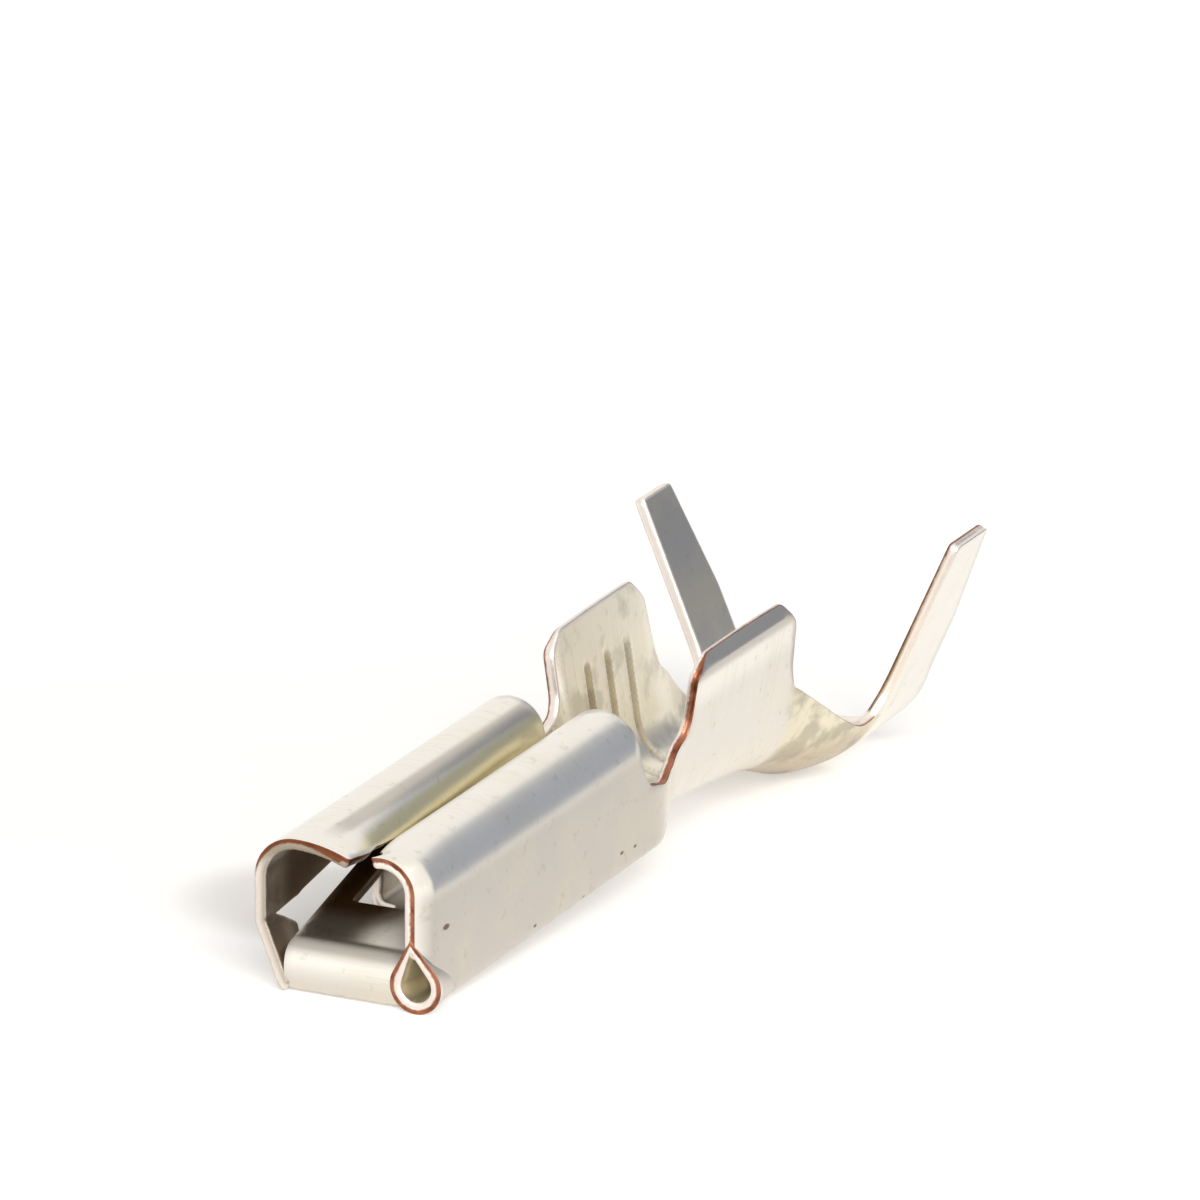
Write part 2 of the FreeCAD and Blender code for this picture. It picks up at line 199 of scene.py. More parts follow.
# Rows of the body's two sides: s, foot, foot radius, wall, shoulder radius, top, curl radius, sweep.
def bodyRows():
    b = body
    half, r, bend = b["halfWidth"], b["cornerRadius"], b["pinchShoulder"]
    foot, drop = half - r, b["height"] - b["mouthDrop"]
    plain = [foot, r, half, b["shoulderRadius"], b["height"]]
    flap = [b["flapFoot"]] + plain[1:]
    pinch = [foot - 0.05, r, half - b["pinchInset"], bend, drop]
    lip = [foot - 0.05, r, half - b["lipInset"], bend + 0.05, drop + 0.03]
    last = [b["length"]] + plain + [b["curlRadius"], b["curlSweep"]]
    left = zip([flap, flap, plain, plain], b["leftCurl"])
    right = zip([pinch, lip, plain, plain], b["rightCurl"])
    return [[[s, *wall, *curl] for wall, (s, *curl) in side] + [last] for side in (left, right)]


# Rows of the channel: s, half floor, corner radius, splay and level of the floor.
def channelRows():
    w, start, r = barrel, body["length"], body["cornerRadius"]
    front, back, grip = w["wireFront"], w["wireBack"], w["gripFront"]
    wire = [w["wireHalfFloor"], w["wireRadius"], w["wireSplay"]]
    hold = [w["gripHalfFloor"], w["gripRadius"], w["gripSplay"], -w["gripDrop"]]
    neck = (grip - back) / 4
    return [[start, body["halfWidth"] - r, r, 0.01, 0.0],
            [start + 0.75, 0.95, 0.66, 3.0, -0.02],
            [front - 0.4, 0.32, 1.10, 7.0, -0.04],
            [front + 0.3] + wire + [wireLevel(front + 0.3)],
            [back - 0.5] + wire + [wireLevel(back - 0.5)],
            [back + 0.3, 0.15, 1.30, 10.0, -0.68],
            [back + 0.3 + neck, 0.15, 1.50, 14.0, -1.00],
            [back + 0.3 + 2 * neck, 0.12, 1.78, 19.0, -1.31],
            [grip - 0.25] + hold,
            [w["gripBack"] + 0.1] + hold]


# The folding table: y, z and the inward normal at even steps of s and t. The normal is the
# profile's tangent turned by a quarter.
def makeTable():
    step, reach = strip["acrossStep"], strip["acrossReach"]
    across = np.arange(0, reach + step / 2, step)
    s = np.arange(0, barrel["gripBack"] + 0.1, strip["stationStep"])
    inBody = s < body["length"] + 1e-6
    channelY, channelZ = channelSide(blendRows(channelRows(), s[~inBody]))
    sides, edges = [], []
    for rows in bodyRows():
        y, z, edge = bodySide(blendRows(rows, s[inBody]))
        t = alongRows(y, z)
        edges.append(t[:, edge - 1])
        along = [*t, *alongRows(channelY, channelZ)]
        sides.append([np.array([np.interp(across, a, b) for a, b in zip(along, values)])
                      for values in ([*y, *channelY], [*z, *channelZ])])
    (ly, lz), (ry, rz) = sides
    y = np.concatenate([-ly[:, :0:-1], ry], axis=1)
    z = np.concatenate([lz[:, :0:-1], rz], axis=1)
    dy, dz = (np.gradient(p, axis=1) for p in (y, z))
    size = np.maximum(np.hypot(dy, dz), 1e-9)
    return s, np.stack([y, z, -dz / size, dy / size], axis=2), edges


stations, foldTable, curlEdges = makeTable()
print("folding table", foldTable.shape)


# A point of the blank folded: bilinear reading of the table, as a place and an inward normal.
def foldStrip(s, t):
    i = np.clip(s / strip["stationStep"], 0, len(stations) - 1.001)
    j = np.clip((t + strip["acrossReach"]) / strip["acrossStep"], 0, foldTable.shape[1] - 1.001)
    a, b = i.astype(int), j.astype(int)
    f, g = (i - a)[:, None], (j - b)[:, None]
    read = ((1 - f) * (1 - g) * foldTable[a, b] + f * (1 - g) * foldTable[a + 1, b]
            + (1 - f) * g * foldTable[a, b + 1] + f * g * foldTable[a + 1, b + 1])
    return np.column_stack([-s, read[:, :2]]), np.column_stack([0 * s, unit(read[:, 2:])])


# The t at which a side of the strip reaches a height, below its top.
def acrossAt(s, z, side):
    i = min(int(round(s / strip["stationStep"])), len(stations) - 1)
    middle = foldTable.shape[1] // 2
    height = foldTable[i, middle:, 1] if side > 0 else foldTable[i, middle::-1, 1]
    top = int(np.argmax(height)) + 1
    return side * float(np.interp(z, height[:top], np.arange(top) * strip["acrossStep"]))


# The tongue's outer face as x and z at even steps. Its fold is a half round made squarer:
# x = -r + r cos(a)^p, z = r + r sin(a)^p. Then come a straight rise, a quadratic curve over its
# crown and a straight fall to its end.
def tonguePath():
    r = tongue["bendRadius"]
    rise, fall = math.radians(tongue["rise"]), math.radians(tongue["fall"])
    a = np.radians(np.linspace(-90, 90 - tongue["rise"], 900))
    power = tongue["foldPower"]
    fold = np.stack([-r + r * np.cos(a)**power, r + r * np.sign(a) * np.abs(np.sin(a))**power], axis=1)
    peakZ = curlEdge - tongue["contactGap"]
    peak = np.array([fold[-1, 0] - (peakZ - fold[-1, 1]) / math.tan(rise), peakZ])
    end = np.array([-tongue["length"], peakZ - math.tan(fall) * (tongue["length"] + peak[0])])
    setback = tongue["crownRadius"] * math.tan((rise + fall) / 2)
    up = np.array([-math.cos(rise), math.sin(rise)])
    down = np.array([-math.cos(fall), -math.sin(fall)])
    share = np.linspace(0, 1, 16)[:, None]
    first, last = peak - up * setback, peak + down * setback
    crown = (1 - share)**2 * first + 2 * share * (1 - share) * peak + share**2 * last
    points = np.concatenate([fold, crown, end[None]])
    along = alongLine(points)
    at = np.arange(0, along[-1], 0.02)
    return at, readLine(points, along, at), along[-1]


tongueAt, tongueLine, tongueLength = tonguePath()


# A point of the tongue folded, and its inward normal: q is the distance along it from the
# floor's front, and t stays as it is.
def foldTongue(q, t):
    slope = unit(np.gradient(tongueLine, axis=0))
    x, z, nx, nz = (np.interp(q, tongueAt, v) for v in (*tongueLine.T, -slope[:, 1], slope[:, 0]))
    return np.column_stack([x, t, z]), np.column_stack([nx, 0 * q, nz])


# The distance along the tongue at which it is so far behind the mouth, on its upper run.
def tongueAtDepth(depth):
    upper = tongueAt > tongue["bendRadius"] * math.pi / 2
    return float(np.interp(depth, -tongueLine[upper, 0], tongueAt[upper]))


# An open outline with its corners cut by quadratic curves, as points at even steps.
def softPath(points, radius, step):
    points = np.array(points, float)
    out = [points[:1]]
    for before, here, after in zip(points[:-2], points[1:-1], points[2:]):
        a, b = before - here, after - here
        la, lb = np.linalg.norm(a), np.linalg.norm(b)
        cut = min(radius, 0.45 * la, 0.45 * lb)
        f = np.linspace(0, 1, 7)[:, None]
        start, end = here + a / la * cut, here + b / lb * cut
        out.append((1 - f)**2 * start + 2 * f * (1 - f) * here + f**2 * end)
    line = np.concatenate(out + [points[-1:]])
    along = alongLine(line)
    count = max(4, int(round(along[-1] / step)))
    return readLine(line, along, np.linspace(0, along[-1], count + 1))


# One side of the blank's outline, from the mouth's gap round the curl and wings to the tail:
# distances behind the mouth and heights on the folded strip, turned to t by acrossAt.
def sideOutline(side):
    w = barrel
    start, wallTop = body["curlBack"], body["height"] - body["shoulderRadius"]
    front, back, top, grip = w["wireFront"], w["wireBack"], w["wireTop"], w["gripFront"]
    throat, neckAt, neckZ = w["throat"], w["neckAt"], w["neckZ"]
    edge = curlEdges[side > 0]
    along = np.linspace(0, start, 32)
    curl = [(s, side * float(np.interp(s, stations[:len(edge)], edge))) for s in along]
    tip, tail = (w["rightTip"], w["rightBack"]) if side > 0 else (w["leftTip"], w["leftBack"])
    profile = [
        (start + 0.04, wallTop), (start + 0.30, 1.75), (start + 0.55, throat + 0.05),
        (start + 0.85, throat), (front - 0.55, throat + 0.15), (front - 0.15, throat + 0.32),
        (front, throat + 0.60), (front, top - 0.37), (front + w["chamfer"], top),
        (back - 0.75, top), (back - 0.15, top - 0.50), (back, 1.80), (back + 0.20, 1.30),
        (back + 1.20, 0.65), (back + 1.95, 0.15), (neckAt - 0.35, neckZ + 0.12), (neckAt, neckZ),
        (neckAt + 0.45, neckZ + 0.10), (grip - 0.06, neckZ + 0.45), (grip, neckZ + 0.80),
        (grip + 0.05, w["gripTop"]), (tip, w["gripTop"]), (tail, 1.30), (tail, 0.20),
        (w["gripBack"], -0.30),
    ]
    wings = [(s, acrossAt(s, z, side)) for s, z in profile]
    return curl + wings + [(w["gripBack"], 0.0)]


weldT = np.linspace(-tongue["halfWidth"], tongue["halfWidth"], 27)
foldStart = tongue["bendRadius"]


# The blank without its tongue: outer loop, then the window's loop.
def blankLoops():
    half = tongue["halfWidth"]
    gap = [(foldStart, half)] + [(x, acrossAt(x, z, 1)) for x, z in loop["wallCut"]]
    left = sideOutline(-1)[::-1][1:] + [(0.0, -half - 0.01), (foldStart, -half)]
    outline = softPath(gap + sideOutline(1) + left, barrel["rounding"], strip["outlineStep"])
    joint = np.stack([np.full(len(weldT) - 2, foldStart), weldT[1:-1]], axis=1)
    w = window
    knee, front, back = (w["knee"], w["kneeZ"]), (w["front"], w["frontZ"]), (w["back"] - 0.3, w["backZ"])
    top, rise = np.linspace(front, back, 12), np.linspace(knee, front, 12)
    profile = rise[6:-1].tolist() + top.tolist() + [(w["back"], w["backZ"] - 0.3), (w["back"], 0.5)]
    hole = [(x, acrossAt(x, z, -1)) for x, z in profile]
    hole += [(w["floorBack"], -half), (w["floorFront"], -half)]
    hole += [(x, acrossAt(x, z, -1)) for x, z in [(w["knee"] + 0.23, 0.50)] + rise[:7].tolist()]
    return [np.concatenate([outline, joint]), softPath(hole, w["rounding"], strip["outlineStep"])[:-1]]


# The tongue's blank in q and t: outer loop, then the slot's loop.
def tongueLoops():
    half, c = tongue["halfWidth"], tongue["slotHalf"]
    r, step = tongue["cornerRounding"], tongue["outlineStep"]
    outline = softPath([(0, half), (tongueLength, half), (tongueLength, -half), (0, -half)], r, step)
    joint = np.stack([np.zeros(len(weldT) - 2), weldT[1:-1]], axis=1)
    a, b = tongueAtDepth(tongue["slotFront"]), tongueAtDepth(tongue["slotFront"] + tongue["slotLength"])
    middle = ((a + b) / 2, c)
    slot = softPath([middle, (a, c), (a, -c), (b, -c), (b, c), middle], r, step)[:-1]
    return [np.concatenate([outline, joint]), slot]


# True where a point lies inside an odd number of loops: crossings of a line drawn along +s.
def insideLoops(points, loops):
    odd = np.zeros(len(points), bool)
    chunk = 4000
    for ring in loops:
        a, b = ring, np.roll(ring, -1, axis=0)
        for k in range(0, len(points), chunk):
            p = points[k:k + chunk, None]
            rises = (a[:, 1] > p[..., 1]) != (b[:, 1] > p[..., 1])
            drop = np.where(b[:, 1] == a[:, 1], 1.0, b[:, 1] - a[:, 1])
            cross = a[:, 0] + (p[..., 1] - a[:, 1]) * (b[:, 0] - a[:, 0]) / drop
            odd[k:k + chunk] ^= ((rises & (p[..., 0] < cross)).sum(axis=1) % 2).astype(bool)
    return odd


# Constrained Delaunay fill of the loops with staggered rows of points, none nearer to a loop than
# clear, where a distance along the strip counts only as much as squeeze says.
def fillLoops(loops, rows, columns, squeeze, clear):
    gap = np.diff(columns, append=columns[-1] + 0.1)
    grid = [np.stack([np.full(len(columns), s), columns + (gap / 2 if k % 2 else 0)], axis=1)
            for k, s in enumerate(rows)]
    points = np.concatenate(grid)
    points = points[insideLoops(points, loops)]
    scale = np.array([squeeze, 1.0])
    border = np.concatenate(loops) * scale
    keep = np.ones(len(points), bool)
    chunk = 2000
    for k in range(0, len(points), chunk):
        near = np.linalg.norm(points[k:k + chunk, None] * scale - border[None], axis=2).min(axis=1)
        keep[k:k + chunk] = near > clear
    points = np.concatenate([border, points[keep] * scale])
    edges, start = [], 0
    for ring in loops:
        ids = np.arange(start, start + len(ring))
        edges += list(zip(ids.tolist(), np.roll(ids, -1).tolist()))
        start += len(ring)
    flat = [Vector(p) for p in points.tolist()]
    made = geometry.delaunay_2d_cdt(flat, edges, [], 0, 1e-7)
    verts = np.array([tuple(v) for v in made[0]]) / scale
    tris = np.array(made[2], int)
    tris = tris[insideLoops(verts[tris].mean(axis=1), loops)]
    u, v = (verts[tris[:, k]] - verts[tris[:, 0]] for k in (1, 2))
    twice = u[:, 0] * v[:, 1] - u[:, 1] * v[:, 0]
    tris[twice < 0] = tris[twice < 0][:, ::-1]
    sliver = 2e-5  # twice the area of the thin triangles along straight edges, which are dropped
    return verts, tris[np.abs(twice) > sliver]


# The cut edge's profile from the outer face to the inner one: share of the thickness, and how far
# out. The burr and the rollover round its ends, and the torn part between them is a little rough.
def edgeProfile():
    burr, roll, torn = strip["burr"], strip["rollover"], strip["copperShare"]
    return np.array([(0.0, -burr), (0.03, -0.2 * burr), (0.08, 0.0), (torn * 0.5, -0.004),
                     (torn, -0.006), (torn + 0.06, 0.004), (0.72, 0.002), (0.82, -0.10 * roll),
                     (0.92, -0.36 * roll), (0.98, -0.72 * roll), (1.0, -roll),
                     (1.0, -roll - strip["innerRim"])])


# Joins an outer and an inner face by a cut edge wherever the sheet ends, as one closed mesh. A
# place on the edge is outer + share * (inner - outer) + push * the way out of the sheet.
def closeSheet(outer, inner, tris, blank):
    n = len(outer)
    half = np.concatenate([tris[:, [0, 1]], tris[:, [1, 2]], tris[:, [2, 0]]])
    free = ~np.isin(half[:, 0] * n + half[:, 1], half[:, 1] * n + half[:, 0])
    a, b = half[free].T
    side = unit(np.cross(outer[b] - outer[a], unit(outer - inner)[a]))
    out = np.zeros_like(outer)
    np.add.at(out, a, side)
    np.add.at(out, b, side)
    rim = np.unique(a)
    out = unit(out[rim])
    place = np.zeros(n, int)
    place[rim] = np.arange(len(rim))
    share, push = edgeProfile().T[:, :, None, None]
    rows = outer[rim] * (1 - share) + inner[rim] * share + out * push
    outer, inner = outer.copy(), inner.copy()
    outer[rim], inner[rim] = rows[0], rows[-1]
    last = len(share) - 1
    verts = np.concatenate([outer, inner, rows[1:-1].reshape(-1, 3)])
    ids = [rim] + [2 * n + k * len(rim) + np.arange(len(rim)) for k in range(last - 1)] + [rim + n]
    pa, pb = place[a], place[b]
    quads = np.concatenate([np.stack([ids[k][pb], ids[k][pa], ids[k + 1][pa], ids[k + 1][pb]], axis=1)
                            for k in range(last)])
    depth = np.concatenate([np.zeros(n), np.ones(n), np.repeat(share[1:-1].ravel(), len(rim))])
    flat = np.concatenate([blank, blank, np.tile(blank[rim], (last - 1, 1))])
    return verts, [tris, tris[:, ::-1] + n, quads], depth, flat


# Smooth step from 0 to 1 between two values: 3 f^2 - 2 f^3.
def ease(x, low, high):
    f = np.clip((x - low) / (high - low), 0, 1)
    return f * f * (3 - 2 * f)


# Where a value lies between two others, with soft ends: one step up times one down.
def within(x, low, high, soft):
    return ease(x, low - soft, low) * (1 - ease(x, high, high + soft))


# Places that more than one finish asks for: distances behind the mouth, heights and widths.
zones = {
    "mouth": 0.6, "curlEnd": 9.0, "windowTop": 2.0, "gripFront": 20.2,
    "tongueHalf": 1.25, "tongueAlong": (0.52, 6.0), "tongueHigh": (0.25, 2.1),
    "cornerBack": 1.35, "cornerTop": 1.45, "cornerSide": 0.8, "cornerWall": 1.22,
}


# Bare metal on the cut edge: strong round the mouth and on the right wings, faint on the left
# ones. Each side is a sum of soft steps along the strip, and along the arc at the mouth.
def bareShare(s, y, z, onTongue, onWindow):
    curl = 0.2 + 0.7 * ease(z, 2.2, 2.85) + 0.9 * ease(y, -0.9, 0.0)
    left = np.where(s < zones["mouth"], curl, 0.75 - 0.6 * ease(s, 9.0, 9.4))
    left = np.where(onWindow, 0.1, left) + 0.35 * within(s, 11.9, 12.6, 0.4)
    right = 1.0 + 0.5 * within(s, 9.6, 12.4, 0.3) - 0.3 * ease(s, 12.5, 13.2)
    right = right - 0.3 * ease(s, 17.0, 17.5) + 0.35 * ease(s, 20.4, 20.8)
    return np.where(onTongue, 0.15, np.where(y < 0, left, right))


# Share of painted shade at each place, painted brown: inside the body, on the tongue, in the
# grooves, on shaded cut edges and under the neck. Soft steps multiplied where they overlap, and
# then each special place set over them.
def paintedShadeShare(s, y, z, depth, onTongue, onWindow, onCorner):
    # Painted shade inside the body, where little light reaches.
    inside = ease(s, 0.1, 1.2) * (1 - ease(s, 4.0, 5.5) * (1 - ease(z, 0.5, 1.0)))
    inside *= (1 - ease(s, 8.8, 10.2))
    front = within(s, 0.0, 2.0, 0.3) * (y < 0) * (1 - ease(z, 2.6, 3.2))
    inside = np.maximum(inside, (0.8 - 0.4 * ease(z, 1.2, 1.6)) * front)
    # Painted shade on the tongue, standing in for the dark inside that it reflects.
    tongueShare = 1.22 * ease(s - 1.1 * ease(y, -0.3, 1.0), 0.6, 1.7)
    share = np.where(onTongue, tongueShare, ease(depth, 0.6, 1.0) * inside)
    # Painted shade on cut edges: on the curls at the mouth, the flap's inner half, the window's front and the
    # grip rim's lower part.
    edge = (depth > 0.02) & (depth < 0.98)
    mouthEdge = edge & (s < zones["mouth"] / 2)
    share = np.where(mouthEdge & (y < 0.45), 0.95 * ease(z, 2.3, 2.8), share)
    flap = 0.15 + 0.7 * ease(depth, 0.6, 0.8)
    share = np.where(mouthEdge & (y < -1.0) & (z < 2.6), np.maximum(flap, share), share)
    share = np.where(edge & onWindow, 1.1 - 0.95 * ease(s, 4.4, 4.8), share)
    # Painted shade in the grooves.
    for k in range(grooves["count"]):
        start = grooves["first"] + k * grooves["pitch"]
        cut = within(s, start + 0.08, start + 0.12, 0.14)
        cut *= (1 - ease(z, grooves["top"] - 0.3, grooves["top"]))
        share = np.maximum(share, 0.5 * cut * ease(depth, 0.9, 1.0))
    gripRim = edge & (s > zones["gripFront"]) & (y > 0) & (depth > 0.5)
    share = np.where(gripRim, 1.1 - 0.7 * ease(z, 0.8, 3.0), share)
    share = np.where(onCorner & ~onTongue, 0.0, share)
    # Painted shadow under the neck.
    underNeck = 0.5 * within(s, 17.4, 20.0, 0.6) * (1 - ease(z, -0.7, 0.1)) * (1 - depth)
    return np.maximum(share, underNeck)


# What the materials need to know of each place, by products of soft steps. The depth in the sheet
# is turned round on the right grip wing's rim, where the inner half shows copper.
def finishShares(verts, depth):
    s, y, z = -verts[:, 0], verts[:, 1], verts[:, 2]
    narrow = np.abs(y) < zones["tongueHalf"]
    (front, back), (low, high) = zones["tongueAlong"], zones["tongueHigh"]
    onTongue = narrow & (s > front) & (s < back) & (z > low) & (z < high)
    onWindow = (s > zones["mouth"]) & (s < zones["curlEnd"]) & (z < zones["windowTop"])
    atCorner = (s < zones["cornerBack"]) & (z < zones["cornerTop"])
    onCorner = atCorner & (y > zones["cornerSide"])
    # The flat walls are painted darker: drawing wear, and painted shade for the darker surroundings they
    # reflect.
    walls = ease(s, 0.0, 0.2) * (1 - 0.6 * ease(s, 9.9, 11.0)) * (1 - ease(s, 17.0, 18.0))
    walls *= (1 - ease(z, 2.1, 2.6))
    # Painted shade on the lower part of the mouth's fold.
    foot = 0.8 * (1 - ease(s, 0.2, 0.5)) * (1 - ease(z, 0.2, 0.7))
    coined = within(s, 12.2, 16.9, 0.1) * ease(z, 2.75, 2.95)
    # A painted dark reflection band along the left curl's crown.
    crown = within(y, -0.62, -0.44, 0.12) * (z > 2.6) * within(s, 1.5, 9.6, 1.2)
    wearAndShade = np.where(onTongue, 0.0, np.maximum.reduce([walls, foot, coined, crown])) * (1 - depth)
    wearAndShade += depth * ease(s, 20.2, 20.6) * (y < 0)
    lip = narrow * (0.6 * ease(z, 0.5, 0.75) + 0.4 * ease(z, 0.85, 0.98)) * (1 - ease(z, 2.0, 2.2))
    lip *= (1 - ease(s, 0.25, 0.6)) * (s < 2)
    run = onTongue * (depth < 0.5) * ease(y, -0.4, 0.8) * (1 - ease(s, 0.9, 1.9))
    dull = np.maximum(lip, run) * (1 - depth)
    # A painted yellow reflection on the left curl's flank.
    flank = within(y, -0.75, 0.0, 0.2) * within(s, 0.8, 9.5, 0.5) * within(z, 2.2, 2.8, 0.12)
    # A painted golden reflection on the neck, and a painted olive reflection inside the rolled corner.
    neck = 0.5 * within(s, 17.3, 20.2, 0.5) + 0.45 * onCorner * depth
    barrels = 0.35 * depth * ease(s, 12.2, 13.0) * (1 - ease(s, 19, 20))
    ageAndReflection = np.maximum.reduce([flank, neck, barrels])
    gripRim = (s > zones["gripFront"]) & (y > 0) & (depth > 0.01) & (depth < 0.99)
    return {
        "bare": bareShare(s, y, z, onTongue, onWindow),
        "paintedShade": paintedShadeShare(s, y, z, depth, onTongue, onWindow, onCorner),
        "wearAndShade": wearAndShade, "dull": np.where(atCorner & (y > zones["cornerWall"]), 0.2 * depth, dull),
        "shine": within(s, 10.4, 12.4, 0.3) * depth, "ageAndReflection": ageAndReflection,
        "stained": ageAndReflection * ease(s, 12.2, 13.0), "depth": np.where(gripRim, 1 - depth, depth),
    }


# Puts arrays into a mesh: places in metres above the underside's level, a material per set of
# faces, the blank as UV map, and the finish as attributes.
def makeMesh(name, verts, faceSets, depth, flat, materials):
    mesh = bpy.data.meshes.new(name)
    shares = finishShares(verts, depth)
    verts = (verts - [0, 0, tabLevel]) / 1000
    sizes = np.concatenate([np.full(len(f), f.shape[1]) for f in faceSets])
    loops = np.concatenate([f.ravel() for f in faceSets])
    slots = np.concatenate([np.full(len(f), k) for k, f in enumerate(faceSets)])
    mesh.vertices.add(len(verts))
    mesh.vertices.foreach_set("co", verts.ravel())
    mesh.loops.add(len(loops))
    mesh.loops.foreach_set("vertex_index", loops.astype(np.int32))
    mesh.polygons.add(len(sizes))
    for key, values in (("loop_start", np.cumsum(sizes) - sizes), ("material_index", slots)):
        mesh.polygons.foreach_set(key, values.astype(np.int32))
    mesh.update(calc_edges=True)
    mesh.validate()
    uv = mesh.uv_layers.new(name="blank")
    uv.data.foreach_set("uv", flat[loops].ravel())
    for key, values in shares.items():
        layer = mesh.attributes.new(key, "FLOAT", "POINT")
        layer.data.foreach_set("value", values.astype(np.float32))
    mesh.polygons.foreach_set("use_smooth", np.ones(len(sizes), bool))
    for material in materials:
        mesh.materials.append(material)
    obj = bpy.data.objects.new(name, mesh)
    addObject(obj)
    print(name, "made:", len(verts), "vertices,", len(sizes), "faces")
    return obj


# Tooling marks: the coined bevel of the wire wings pushes the outer face in by a straight ramp,
# and each groove pushes the inner face out by a soft trough with a low ridge on each side.
def toolMarks(s, outer, inner, normal):
    w = barrel
    z = outer[:, 2]
    wing = ease(s, w["wireFront"] - 0.10, w["wireFront"] - 0.02)
    wing *= (1 - ease(s, w["wireBack"] + 0.02, w["wireBack"] + 0.2))
    coined = np.clip((z - (w["wireTop"] - w["bevel"])) / w["bevel"], 0, 1.05) * wing
    outer = outer + normal * (coined * (strip["thickness"] - w["bevelLand"]))[:, None]
    cut = np.zeros(len(s))
    for k in range(grooves["count"]):
        middle = grooves["first"] + k * grooves["pitch"] + grooves["width"] / 2
        away = np.abs(s - middle) / (grooves["width"] / 2)
        ridge = 1 - ease(np.abs(away - 1.5), 0.0, 0.5)
        cut += (1 - ease(away, 0.55, 1.1)) - grooves["raised"] * ridge
    cut *= 1 - ease(z, grooves["top"] - 0.25, grooves["top"] + 0.05)
    return outer, inner - normal * (cut * grooves["depth"])[:, None]


# The whole strip: blank and tongue are filled flat, folded, thickened along the inward normal,
# welded where the tongue leaves the floor, and closed by the cut edge.
def stripMesh(materials):
    rows = np.concatenate([np.arange(*span) for span in strip["rowSpans"]])
    side = np.concatenate([np.arange(*span) for span in strip["columnSpans"]])
    columns = np.concatenate([-side[::-1], side])
    flat, tris = fillLoops(blankLoops(), rows, columns, strip["squeeze"], strip["clear"])
    outer, normal = foldStrip(flat[:, 0], flat[:, 1])
    inner = outer + normal * strip["thickness"]
    outer, inner = toolMarks(flat[:, 0], outer, inner, normal)
    print("blank filled:", len(flat), "points,", len(tris), "triangles")

    half, front = tongue["halfWidth"], tongue["frontRows"]
    side = np.arange(-half + tongue["columnInset"], half, tongue["columnStep"])
    rows = np.concatenate([np.arange(*front), np.arange(front[1], tongueLength, tongue["rowStep"])])
    flatT, trisT = fillLoops(tongueLoops(), rows, side, 1.0, tongue["clear"])
    trisT = trisT[:, ::-1]  # q runs against s
    outerT, normalT = foldTongue(flatT[:, 0], flatT[:, 1])
    innerT = outerT + normalT * strip["thickness"]
    blankT = np.stack([foldStart - flatT[:, 0], flatT[:, 1]], axis=1)
    onJoint = np.flatnonzero(np.abs(flatT[:, 0]) < 1e-6)
    seam = np.flatnonzero((np.abs(flat[:, 0] - foldStart) < 1e-6) & (np.abs(flat[:, 1]) < half + 1e-6))
    match = seam[np.abs(flat[seam, 1][None] - flatT[onJoint, 1][:, None]).argmin(axis=1)]
    index = np.arange(len(flatT)) + len(flat)
    index[onJoint] = match
    tris = np.concatenate([tris, index[trisT]])
    used = np.unique(tris)
    pack = np.zeros(len(flat) + len(flatT), int)
    pack[used] = np.arange(len(used))
    pairs = ((outer, outerT), (inner, innerT), (flat, blankT))
    outer, inner, blank = (np.concatenate(pair)[used] for pair in pairs)
    verts, faces, depth, uv = closeSheet(outer, inner, pack[tris], blank)
    return makeMesh("foldedStrip", verts, faces, depth, uv, materials)


# A teardrop of a round and two tangents to its apex, at even shares of its outline.
def teardrop(centre, radius, apex, count):
    centre, apex = np.array(centre), np.array(apex)
    reach = apex - centre
    opening = math.acos(radius / np.linalg.norm(reach))
    heading = math.atan2(reach[1], reach[0])
    a = np.linspace(heading + opening, heading + 2 * math.pi - opening, 120)
    ring = centre + radius * np.stack([np.cos(a), np.sin(a)], axis=1)
    line = np.concatenate([apex[None], ring, apex[None]])
    along = alongLine(line)
    at = np.linspace(0, along[-1], count, endpoint=False)
    return readLine(line, along, at), at


# The rolled corner: a teardrop at the mouth and a smaller one at its back, blended ring by ring
# in even shares. The inner face is the same with radius and apex less by the thickness.
def loopMesh(materials):
    count, rings = loop["points"], loop["rings"]
    thin = strip["thickness"]
    shape = []
    for less in (0, thin):
        drop = np.array([0, 1.1 * less])
        front, at = teardrop(loop["front"], loop["frontRadius"] - less, loop["frontApex"] - drop, count)
        back, _ = teardrop(loop["back"], loop["backRadius"] - less, loop["backApex"] - drop, count)
        f = np.linspace(0, 1, rings)[:, None, None]
        yz = (1 - f) * front + f * back
        x = np.broadcast_to(loop["forward"] - f * (loop["length"] + loop["forward"]), (rings, count, 1))
        shape.append(np.concatenate([x, yz], axis=2).reshape(-1, 3))
        if less == 0:
            around = at
    grid = np.arange(rings * count).reshape(rings, count)
    here, ahead = grid[:-1], grid[1:]
    a, b, c, d = (g.ravel() for g in (here, np.roll(here, -1, axis=1), np.roll(ahead, -1, axis=1), ahead))
    tris = np.concatenate([np.stack([a, b, c], axis=1), np.stack([a, c, d], axis=1)])
    along = np.repeat(np.linspace(0, loop["length"], rings), count)
    blank = np.stack([along, np.tile(around, rings)], axis=1)
    p = shape[0][tris]
    face = np.cross(p[:, 1] - p[:, 0], p[:, 2] - p[:, 0])
    away = p.mean(axis=1) - shape[1][tris].mean(axis=1)
    if (face * away).sum() < 0:
        tris = tris[:, ::-1]
    verts, faces, depth, uv = closeSheet(shape[0], shape[1], tris, blank)
    return makeMesh("rolledCorner", verts, faces, depth, uv, materials)


